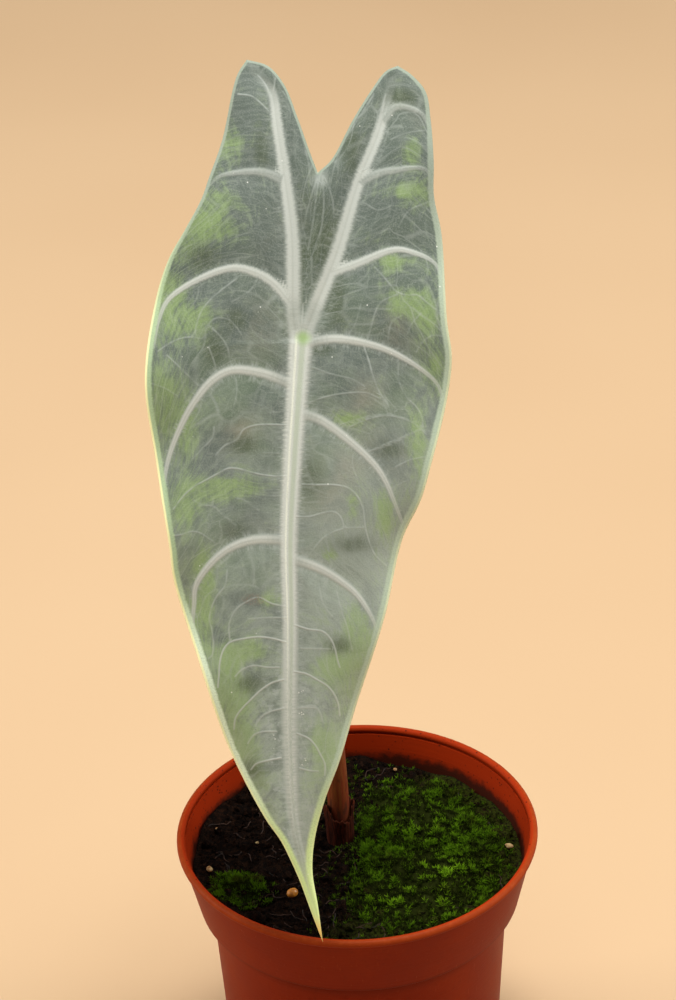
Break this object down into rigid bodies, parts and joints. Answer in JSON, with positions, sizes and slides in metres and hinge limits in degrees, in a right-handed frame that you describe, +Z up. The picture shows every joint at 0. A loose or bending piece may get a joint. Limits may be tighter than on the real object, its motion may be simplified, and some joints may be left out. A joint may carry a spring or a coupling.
{
  "type": "potted alocasia longiloba",
  "caption": "Young potted aroid with one arrow-shaped, pale-veined blade on an upright stalk, in a small round nursery pot with soil and moss.",
  "frame": {"origin": "middle of the pot's flat base, on the surface that it stands on", "axes": "+Z up along the pot's axis, -Y towards the front, where the blade's tip hangs over the rim, +X to the right of it"},
  "size_m": [0.0798, 0.0991, 0.2412],
  "materials": {
    "pot_plastic": "satin moulded polypropylene, terracotta red",
    "soil": "damp crumbly peat mix",
    "root": "pale fibrous root skin",
    "sheath": "dry torn sheath, dark red brown",
    "petiole": "smooth stalk skin, red brown to green",
    "leaf": "grey-green lamina with pale veins and a satin bloom",
    "moss": "short dense cushion moss",
    "feed": "coated tan feed grain"
  },
  "bodies": {
    "root": {"pot": "pot_plastic", "soil": "soil", "rootstock": "root", "basal_sheath": "sheath", "petiole": "petiole", "leaf_blade": "leaf", "moss_right": "moss", "moss_front_left": "moss", "feed_prill": "feed"}
  },
  "joints": []
}
